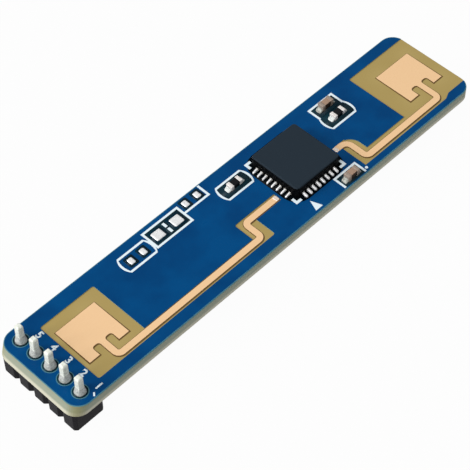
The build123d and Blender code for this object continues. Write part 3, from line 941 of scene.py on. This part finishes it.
@dataclass
class Board:
    """The printed board: laminate, lacquers, copper, tinned empty pads and white print."""

    corner: float = 1.0
    tin_edge: float = 0.08
    tin_from_edge: float = 0.05
    tin_dome: float = 0.6
    # Width of the near-black painted shade round each empty pad.
    pad_shade_width: float = 0.11
    bare_round_diode: tuple[float, float] = (0.25, 0.29)
    diode_patch_corner: float = 0.05
    # How far the chip's painted shade reaches past its body, and how round its corners are.
    shade_round_chip: float = 0.5
    chip_shade_corner: float = 1.15
    patch_rise: float = 0.003
    tip_length: float = 0.3
    tip_height: float = 0.03
    tip_from_edge: float = 0.01
    tip_dome: float = 0.35
    # Painted shade at the antennas' foot: its width, the extra painted cast shadow on the -Y side, and its
    # height.
    shade_line_width: float = 0.04
    cast_shadow_extra: float = 0.06
    shade_line_rise: float = 0.004
    lip_width: float = 0.1
    lip_rise: float = 0.004
    digit_height: float = 0.54
    digit_rise: float = 0.012
    digit_weight: float = 0.03
    digit_from_pin: tuple[float, float] = (1.0, -0.5)

    def dress_plates(self) -> None:
        """Gives the plates that are hidden or have no worn edge their finish."""
        # The lands' near-black rims are painted shade round the solder.
        dress_nodes({"lower_lacquer": MASK, "ground_plane": COPPER, "part_lands": LAND_RIM_SHADE,
                     "chip_lands": LAND_RIM_SHADE, "printed_marks": INK})

    def soften_plates(self) -> None:
        """Rounds the routed laminate, the lacquer's flowed edges and the antennas' etched edges."""
        for copy, finish, slot in (
            (SoftCopy("laminate", "routed_board", 0.03), LAMINATE, "laminate"),
            (SoftCopy("upper_lacquer", "flowed_lacquer", 0.035), MASK, "lacquer"),
            (SoftCopy("near_antenna", "etched_near_antenna", 0.012), COPPER, "copper"),
            (SoftCopy("far_antenna", "etched_far_antenna", 0.012), COPPER, "copper"),
        ):
            add_piece(copy.make(), finish, slot, copy.node)

    def make_rim_lip(self) -> None:
        """Draws the thin pale lip where the lacquer thins out over the board's rim, open at the far window.

        The path is the board's rounded outline. The section is a half ellipse whose distance from the rim and
        whose height follow the cosine and the sine of one angle. The opening lies between the window's sides,
        which are the innermost points of the lacquer's last stretch.
        """
        low, high = in_mm(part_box("upper_lacquer"))
        board_high = in_mm(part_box("laminate"))[1]
        near = low[0] - (board_high[1] - high[1])
        centre = np.array([(near + board_high[0]) / 2, 0.0])
        section = np.radians(np.linspace(0, 180, 9))
        inset = self.lip_width / 2 * (1 - np.cos(section))
        rise = board_high[2] + (high[2] + self.lip_rise - board_high[2]) * np.sin(section)
        rim = centre + rounded_outline((board_high[0] - near) / 2 - inset, board_high[1] - inset,
                                       self.corner - inset, steps=10)
        points, _ = merged_mesh("upper_lacquer")
        last_from = high[0] - self.corner
        last = points[points[:, 0] > last_from]
        upper, lower = last[last[:, 1] > 0][:, 1].min(), last[last[:, 1] < 0][:, 1].max()
        kept = (rim[0, :, 0] < last_from) | (rim[0, :, 1] > upper) | (rim[0, :, 1] < lower)
        rings = at_levels(rim, rise).transpose(1, 0, 2)[kept]
        add_piece(tube_object("rim_lacquer_lip", rings[None]), MASK_LIP, "lacquer")

    def lay_bare_patches(self, parts: tuple[ChipPart, ...]) -> None:
        """Lays the darker lacquer where no copper lies under it.

        It fills the outlines of the small parts and of the diode's place, up to under the printed lines, and
        a near-black ring of painted shade lies round each empty pad.

        Args:
            parts: the two-ended parts on the board.
        """
        low, high = in_mm(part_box("upper_lacquer"))[:, :2]
        pads = solid_boxes("empty_pad_tin")[:, :, :2]
        size = pads[:, 1] - pads[:, 0]
        wide = pads[size[:, 0] > size[:, 0].mean()]
        diode = np.array([wide[:, 0].min(axis=0), wide[:, 1].max(axis=0)])
        names = [part.name for part in parts]
        boxes = np.array([diode, *(in_mm(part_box(f"{name}_solder"))[:, :2] for name in names)])
        reach = np.array([self.bare_round_diode, *(part.bare_reach for part in parts)])
        boxes = boxes + reach[:, None] * np.array([[-1], [1]])
        boxes = np.clip(boxes, low + self.lip_width, high - self.lip_width)
        corners = np.array([self.diode_patch_corner, *(part.kind.value.patch_corner for part in parts)])
        self.lay_patches("bare_lacquer_patches", boxes, corners, self.patch_rise, BARE_MASK)
        # Near-black rings round the empty pads: painted shade for the gap round each pad.
        rings = pads + self.pad_shade_width * np.array([[-1], [1]])
        corners = np.full(len(pads), self.pad_shade_width)
        self.lay_patches("pad_rings_painted_shade", rings, corners, 2 * self.patch_rise, PAD_RING_SHADE_MASK)

    def lay_painted_chip_shade(self) -> None:
        """Lays a near-black rounded square under the chip: painted shade round its contacts."""
        square = in_mm(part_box("chip_body"))[:, :2] + self.shade_round_chip * np.array([[-1], [1]])
        self.lay_patches("chip_painted_shade_surround", square[None], np.array([self.chip_shade_corner]),
                         self.patch_rise, CHIP_SHADE_MASK)

    def lay_patches(self, name: str, boxes: np.ndarray, corners: np.ndarray, rise: float,
                    finish: Finish) -> None:
        """Lays flat rounded patches a hair above the lacquer.

        Args:
            name: the piece's name.
            boxes: their lowest and highest corners, patches x 2 x 2.
            corners: their corner radii.
            rise: their height above the lacquer.
            finish: what they are made of.
        """
        half = (boxes[:, 1] - boxes[:, 0]) / 2
        outline = rounded_outline(half[:, 0], half[:, 1], corners) + boxes.mean(axis=1)[:, None]
        flat = np.broadcast_to(outline[:, None], (len(boxes), 2, *outline.shape[1:]))
        floor = in_mm(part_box("upper_lacquer"))[1, 2]
        add_piece(tube_object(name, at_levels(flat, np.array([floor, floor + rise]))), finish, "lacquer")

    def tin_pads(self) -> None:
        """Raises tin on each empty pad."""
        rings = self.pillows(solid_boxes("empty_pad_tin"), self.tin_from_edge, self.tin_dome)
        add_piece(tube_object("pad_tin_pillows", rings), SOLDER, "solder", "empty_pad_tin")

    def tin_feed_tips(self, next_point: float = 0.05, near: float = 0.01) -> None:
        """Raises a skin of tin on the end of each feed line at the chip, as wide as the line.

        The line starts at the first points past its land on the chip's side.

        Args:
            next_point: how far past the land's end the line's first points may lie at the least.
            near: how near to those points counts as level with them.
        """
        tips = []
        for name, way in (("near_antenna", -1), ("far_antenna", 1)):
            points, _ = merged_mesh(name)
            from_land = way * points[:, 0] - (way * points[:, 0]).min()
            start = from_land[from_land > next_point].min()
            across = points[(from_land > start - near) & (from_land < start + self.tip_length / 2)][:, 1]
            tip = points[np.abs(from_land - start) < near][:, 0].mean()
            along = sorted([tip, tip + way * self.tip_length])
            seat = points[:, 2].max()
            tips.append([[along[0], across.min(), seat], [along[1], across.max(), seat + self.tip_height]])
        rings = self.pillows(np.array(tips), self.tip_from_edge, self.tip_dome)
        add_piece(tube_object("feed_tip_tin", rings), THIN_TIN, "solder")

    def pillows(self, boxes: np.ndarray, from_edge: float, dome: float) -> np.ndarray:
        """Works out pillows of tin.

        Every ring is the box's rounded outline drawn in by a share of a quarter circle while it rises, so the
        tin swells from its edge to a nearly flat top.

        Args:
            boxes: the boxes that they fill, boxes x 2 x 3.
            from_edge: how far they keep from the boxes' sides.
            dome: share of the half width over which they swell.

        Returns:
            Rings as boxes x rings x points x 3.
        """
        half = (boxes[:, 1] - boxes[:, 0]) / 2 - [from_edge, from_edge, 0]
        middle = (boxes[:, 1] + boxes[:, 0]) / 2
        turn = np.radians(np.arange(0, 91, 15))
        least = half[:, :2].min()
        inset = least * np.append(dome * (1 - np.cos(turn)), dome + 0.25)
        left = half[:, :2].min(axis=1)[:, None] - inset
        outline = rounded_outline(half[:, 0, None] - inset, half[:, 1, None] - inset,
                                  np.minimum(self.tin_edge, 0.8 * left))
        levels = boxes[:, 0, 2, None] + 2 * half[:, 2, None] * np.append(np.sin(turn), 1.0)
        return at_levels(outline + middle[:, None, None, :2], levels)

    def draw_foil_shade_lines(self) -> None:
        """Draws a brown line of painted shade along each antenna's outline."""
        for name in ("near_antenna", "far_antenna"):
            obj = placed(new_mesh(f"{name}_shade_line_strip", *self.shade_line_strip(*merged_mesh(name))))
            sheet = obj.modifiers.new("foot_thickness", "SOLIDIFY")
            sheet.thickness = self.shade_line_rise * MM
            add_piece(obj, FOIL_SHADE_LINE, "copper")

    def shade_line_strip(self, points: np.ndarray, triangles: np.ndarray) -> tuple[np.ndarray, list[list[int]]]:
        """Works out the level strip of painted shade along the bottom edge of an antenna's walls,
        widest on its -Y side as a painted cast shadow.

        Each bottom edge is carried outwards. A corner moves along the sum of the normals of its two walls,
        divided by half the square of that sum's length, which keeps the strip's width.

        Args:
            points: the antenna's points in mm.
            triangles: its triangles.

        Returns:
            The strip's points in mm and its faces.
        """
        spans = points[triangles]
        normals = np.cross(spans[:, 1] - spans[:, 0], spans[:, 2] - spans[:, 0])
        normals /= np.linalg.norm(normals, axis=1, keepdims=True)
        sides = np.stack([triangles, np.roll(triangles, -1, axis=1)], axis=-1)
        floor = points[:, 2].min()
        upright = np.abs(normals[:, 2]) < 0.1
        chosen = upright[:, None] & (points[sides][..., 2] < floor + 0.001).all(axis=-1)
        edges = sides[chosen]
        outward = np.broadcast_to(normals[:, None, :2], (*sides.shape[:2], 2))[chosen]
        total = np.zeros((len(points), 2))
        np.add.at(total, edges.ravel(), np.repeat(outward, 2, axis=0))
        length = np.linalg.norm(total, axis=1)[:, None].clip(min=1.0)
        # Painted shade along the foot, widened on the -Y side as a painted cast shadow.
        width = self.shade_line_width + self.cast_shadow_extra * (-total[:, 1:] / length).clip(min=0.0)
        moved = points + np.pad(2 * total / length ** 2 * width, ((0, 0), (0, 1)))
        both = np.concatenate([points, moved])
        both[:, 2] = floor + self.shade_line_rise
        along = points[edges[:, 1], :2] - points[edges[:, 0], :2]
        turned = along[:, 0] * outward[:, 1] - along[:, 1] * outward[:, 0] < 0
        edges[turned] = edges[turned][:, ::-1]
        quads = np.concatenate([edges, edges[:, ::-1] + len(points)], axis=1)
        used, quads = np.unique(quads, return_inverse=True)
        return both[used], quads.reshape(-1, 4).tolist()

    def print_pin_numbers(self) -> None:
        """Prints a plain number behind each header pin, upright for a reader who looks along the board."""
        for number in range(1, Header.pins + 1):
            text = bpy.data.curves.new(f"pin_number_{number}", "FONT")
            text.body = str(number)
            text.align_x = "CENTER"
            text.align_y = "CENTER"
            text.offset = self.digit_weight
            holder = placed(text)
            drawn = holder.evaluated_get(bpy.context.evaluated_depsgraph_get())
            flat = bpy.data.meshes.new_from_object(drawn)
            flat.name = text.name
            bpy.data.objects.remove(holder)
            self.raise_digit(flat, in_mm(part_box(f"header_pin_{number}"))[:, 1].mean())
            add_piece(placed(flat), INK, "print")

    def raise_digit(self, flat: bpy.types.Mesh, pin_y: float) -> None:
        """Turns a flat digit to the board, scales it to its height and gives the ink its thickness.

        Args:
            flat: the digit as flat faces in the xy plane.
            pin_y: the pin's place across the board.
        """
        with opened(flat) as shell:
            bmesh.ops.remove_doubles(shell, verts=shell.verts, dist=1e-5)
            grown = bmesh.ops.extrude_face_region(shell, geom=list(shell.faces))
            raised = [vertex for vertex in grown["geom"] if isinstance(vertex, bmesh.types.BMVert)]
            bmesh.ops.translate(shell, verts=raised, vec=(0, 0, 1))
            bmesh.ops.recalc_face_normals(shell, faces=shell.faces)
        drawn = vertex_places(flat)
        centre = (drawn.max(axis=0) + drawn.min(axis=0)) / 2
        local = (drawn - centre) * self.digit_height / np.ptp(drawn[:, 1])
        floor = in_mm(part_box("upper_lacquer"))[1, 2]
        upper = drawn[:, 2] > centre[2]
        ink = np.stack([self.digit_from_pin[0] + local[:, 1], pin_y + self.digit_from_pin[1] - local[:, 0],
                        floor + self.digit_rise * upper], axis=1)
        flat.vertices.foreach_set("co", (ink * MM).ravel())
        flat.update()


@dataclass
class Header:
    """The pin header: moulded insulator, five plated pins and their solder."""

    pins: int = 5
    pin_corner: float = 0.05
    tip_length: float = 0.16
    tip_share: float = 0.55
    coat: float = 0.01
    hollow: float = 1.1
    foot_corner: float = 0.31
    plug_radius: float = 0.3
    lip_width: float = 0.06
    lip_rise: float = 0.012
    disc_rise: float = 0.003
    moulded_edge: float = 0.05

    def dress_strip(self) -> None:
        """Rounds the insulator's moulded edges and dresses the plated holes."""
        copy = SoftCopy("header_strip", "moulded_strip", self.moulded_edge, steps=3)
        add_piece(copy.make(), NYLON, "insulator", copy.node)
        dress_nodes({f"plated_hole_{number}": COPPER for number in range(1, self.pins + 1)})

    def make_ring_lips(self) -> None:
        """Draws a dark flat ring round each pin, painted shade at the foot of its joint, and the thin, pale
        lip of lacquer at its edge.

        The lip is a circle swept by a half ellipse: its distance from the pin and its height follow the
        cosine and the sine of a second angle.
        """
        holes = np.array([in_mm(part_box(f"plated_hole_{number}")) for number in range(1, self.pins + 1)])
        floor = in_mm(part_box("upper_lacquer"))[1, 2]
        places = holes.mean(axis=1)[:, None, None, :2]
        radius = (holes[0, 1, 0] - holes[0, 0, 0]) / 2
        around = np.radians(np.arange(0, 360, 10))
        circle = np.stack([np.cos(around), np.sin(around)], axis=-1)
        section = np.radians(np.linspace(0, 180, 7))
        reach = radius + self.lip_width / 2 * (1 - np.cos(section))
        lip = at_levels(places + reach[:, None, None] * circle, floor + self.lip_rise * np.sin(section))
        add_piece(tube_object("ring_lacquer_lips", lip, looped=True), MASK_LIP, "lacquer")
        # A dark disc of bare-lacquer colour round each pin: painted shade at the joint's foot.
        flat = np.broadcast_to(places + radius * circle, (self.pins, 2, len(around), 2))
        disc = at_levels(flat, np.array([floor, floor + self.disc_rise]))
        add_piece(tube_object("ring_painted_shade_discs", disc), BARE_MASK, "lacquer")

    def make_pins(self) -> None:
        """Draws each square wire with rounded edges and rounded, narrowed tips.

        A rounded square is carried straight up. Near each tip its half width falls along a quarter ellipse
        from the full size to a share of it.
        """
        turn = np.radians(np.linspace(0, 90, 7))
        rise = self.tip_length * (1 - np.cos(turn))
        for number in range(1, self.pins + 1):
            name = f"header_pin_{number}"
            low, high = in_mm(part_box(name))
            width = (high[0] - low[0]) / 2 * (self.tip_share + (1 - self.tip_share) * np.sin(turn))
            halves = np.concatenate([width, width[::-1]])
            outline = rounded_outline(halves, halves, np.minimum(self.pin_corner, 0.6 * halves))
            levels = np.concatenate([low[2] + rise, (high[2] - rise)[::-1]])
            rings = at_levels(outline + (low + high)[:2] / 2, levels)
            add_piece(tube_object(f"plated_pin_{number}", rings[None]), WIRE, "pin", name)

    def make_joints(self) -> None:
        """Draws the solder at each pin: a plug in the hole under a hollow cone that climbs the pin.

        The ring is a well rounded square at the foot and the pin's own rounded square at the top. Its half
        width falls from the land's to the pin's with a power of the height to go, so the cone is hollow.
        """
        climb = np.linspace(0, 1, 12)
        plug = np.full(2, self.plug_radius)
        land = in_mm(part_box("near_antenna"))[1, 2]
        for number in range(1, self.pins + 1):
            name = f"pin_joint_{number}"
            low, high = in_mm(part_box(name))
            pin = in_mm(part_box(f"header_pin_{number}"))
            pin_half = (pin[1, 0] - pin[0, 0]) / 2 + self.coat
            foot = (high[0] - low[0]) / 2
            halves = np.append(plug, pin_half + (foot - pin_half) * (1 - climb) ** self.hollow)
            corner = np.append(plug, self.foot_corner * (1 - climb) + (self.pin_corner + self.coat) * climb)
            levels = np.append([low[2], land], land + (high[2] - land) * climb)
            rings = at_levels(rounded_outline(halves, halves, corner) + (low + high)[:2] / 2, levels)
            add_piece(tube_object(f"pin_solder_{number}", rings[None]), PIN_SOLDER, "solder", name)


@dataclass
class RadarChip:
    """The radar chip: moulded body, embedded contacts and the solder that climbs them.

    The wetted shares are for the sides that face along the board and across it.
    """

    foot: SolderFoot
    shoulder: float = 0.13
    corner: float = 0.3
    wetted: tuple[float, float] = (0.7, 1.05)

    def make_body(self) -> None:
        """Rounds the moulding's shoulders and its upright corners; across the shoulders the colour goes from
        the top's to the near-black painted shade of the sides.
        """
        copy = SoftCopy("chip_body", "moulded_chip", self.corner, steps=4, rim_only=True,
                        top_share=self.shoulder / self.corner)
        add_piece(copy.make(), CHIP_MOULD, "mould", copy.node)

    def dress_packed(self) -> None:
        """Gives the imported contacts, ground pad and die their finishes."""
        dress_nodes({"chip_contacts": CONTACT, "chip_ground_pad": CONTACT, "chip_die": SILICON})

    def make_solder(self) -> None:
        """Puts one foot of solder at each contact, out from the nearest side of the body."""
        boxes = solid_boxes("chip_solder")
        low, high = in_mm(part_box("chip_body"))
        half = (high[0] - low[0]) / 2
        size = boxes[:, 1] - boxes[:, 0]
        under_pad = size[:, :2].min(axis=1) > half
        block = rounded_block(boxes[under_pad, 0], boxes[under_pad, 1], size[under_pad, 2].min() / 3)
        add_piece(tube_object("chip_ground_solder", block), SOLDER, "solder", "chip_solder")
        boxes = boxes[~under_pad]
        size = size[~under_pad]
        middle = boxes.mean(axis=1)
        centre = (low + high) / 2
        offset = (middle - centre)[:, :2]
        along = np.abs(offset[:, 0]) > np.abs(offset[:, 1])
        outward = np.where(along[:, None], [1.0, 0.0], [0.0, 1.0]) * np.sign(offset)
        outward = np.pad(outward, ((0, 0), (0, 1)))
        wall = middle * (1 - np.abs(outward)) + (centre + outward * half) * np.abs(outward)
        wall[:, 2] = boxes[:, 0, 2]
        length = np.where(along, size[:, 0], size[:, 1])
        width = np.where(along, size[:, 1], size[:, 0])
        reach = np.abs(offset).max(axis=1) + length / 2 - half
        rings = self.foot.rings(wall, outward, length - reach, reach, width, np.where(along, *self.wetted),
                                size[:, 2], low[2] - boxes[0, 0, 2])
        add_piece(tube_object("chip_solder_feet", rings), SOLDER, "solder", "chip_solder")


# Studio.


@dataclass(frozen=True)
class Lamp:
    """A square soft lamp that aims at the middle of the module."""

    name: str
    azimuth: float
    elevation: float
    distance: float
    side: float
    power: float

    def add(self, aim: Vector) -> None:
        """Hangs the lamp out along its azimuth and elevation and turns it to the aim.

        Args:
            aim: the point that it lights, in metres.
        """
        data = bpy.data.lights.new(self.name, "AREA")
        data.size = self.side * MM
        data.energy = self.power
        turn, rise = np.radians([self.azimuth, self.elevation])
        out = Vector((np.cos(rise) * np.cos(turn), np.cos(rise) * np.sin(turn), np.sin(rise)))
        obj = placed(data)
        obj.location = aim + out * self.distance * MM
        obj.rotation_euler = out.to_track_quat("Z", "Y").to_euler()


@dataclass
class Studio:
    """Plain pale floor, soft lamps, an even sky and the camera at the photograph's place."""

    floor_side: float = 4000.0
    sky: float = 0.36
    lamps: tuple[Lamp, ...] = (
        Lamp("overhead_softbox", azimuth=190, elevation=66, distance=700, side=380, power=2.1),
        Lamp("left_softbox", azimuth=150, elevation=26, distance=700, side=300, power=2.9),
    )
    camera_place: tuple[float, float, float] = (-30.817, -45.589, 82.938)
    looks_down: float = 51.806
    heading: float = 44.735
    roll: float = -0.642
    lens: float = 128.88
    sensor: float = 36.0
    sees_from: float = 5.0
    sees_to: float = 10000.0

    def lay_floor(self) -> None:
        """Lays the floor as one flat face at the pins' lower tips."""
        half = self.floor_side / 2
        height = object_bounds()[0][2] / MM
        around = ((-half, -half), (half, -half), (half, half), (-half, half))
        corners = np.array([[x, y, height] for x, y in around])
        obj = placed(new_mesh("floor", corners, [[0, 1, 2, 3]]))
        dress(obj, FLOOR)
        obj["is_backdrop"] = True

    def light(self) -> None:
        """Sets the even sky and hangs the lamps."""
        world = bpy.data.worlds.new("even_sky")
        world.use_nodes = True
        feed(world.node_tree, world.node_tree.nodes["Background"],
             {"Strength": self.sky, "Color": linear("#ffffff")})
        bpy.context.scene.world = world
        low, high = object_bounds()
        aim = (Vector(low) + Vector(high)) / 2
        for lamp in self.lamps:
            lamp.add(aim)

    def add_camera(self) -> None:
        """Stands the camera at the photograph's place, solved from the board's own corners.

        Its axes come from the heading and the angle that it looks down by, turned by the roll.
        """
        heading, down, roll = np.radians([self.heading, self.looks_down, self.roll])
        forward = Vector((np.cos(down) * np.cos(heading), np.cos(down) * np.sin(heading), -np.sin(down)))
        level = forward.cross(Vector((0, 0, 1))).normalized()
        upright = level.cross(forward)
        right = level * np.cos(roll) + upright * np.sin(roll)
        up = right.cross(forward)
        data = bpy.data.cameras.new("photo_camera")
        data.sensor_width = self.sensor
        data.lens = self.lens
        data.clip_start = self.sees_from * MM
        data.clip_end = self.sees_to * MM
        camera = placed(data)
        turn = Matrix((right, up, -forward)).transposed().to_4x4()
        camera.matrix_world = Matrix.Translation(Vector(self.camera_place) * MM) @ turn
        bpy.context.scene.camera = camera


def main() -> None:
    """Loads the frame, builds every sub-assembly in order and sets the view up."""
    logging.basicConfig(level=logging.INFO, format="%(name)s %(message)s")
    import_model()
    bpy.context.scene.view_settings.view_transform = "Standard"

    studio = Studio()
    studio.add_camera()
    studio.light()
    studio.lay_floor()

    parts = (ChipPart("left_resistor", PartKind.RESISTOR, bare_reach=(0.45, 0.37), seed=13),
             ChipPart("pair_resistor", PartKind.RESISTOR, bare_reach=(0.45, 0.37), seed=13),
             ChipPart("pair_capacitor", PartKind.CAPACITOR, bare_reach=(0.3, 0.27), seed=14),
             ChipPart("edge_capacitor", PartKind.CAPACITOR, bare_reach=(0.17, 0.36), seed=14))

    board = Board()
    board.dress_plates()
    board.soften_plates()
    board.make_rim_lip()
    board.lay_bare_patches(parts)
    board.lay_painted_chip_shade()
    board.tin_pads()
    board.tin_feed_tips()
    board.draw_foil_shade_lines()
    board.print_pin_numbers()

    header = Header()
    header.dress_strip()
    header.make_ring_lips()
    header.make_pins()
    header.make_joints()

    chip = RadarChip(SolderFoot(seed=11, tail=0.12, hollow=1.0, end_round=0.9))
    chip.make_body()
    chip.dress_packed()
    chip.make_solder()

    for part in parts:
        part.make()


if __name__ == "__main__":
    main()
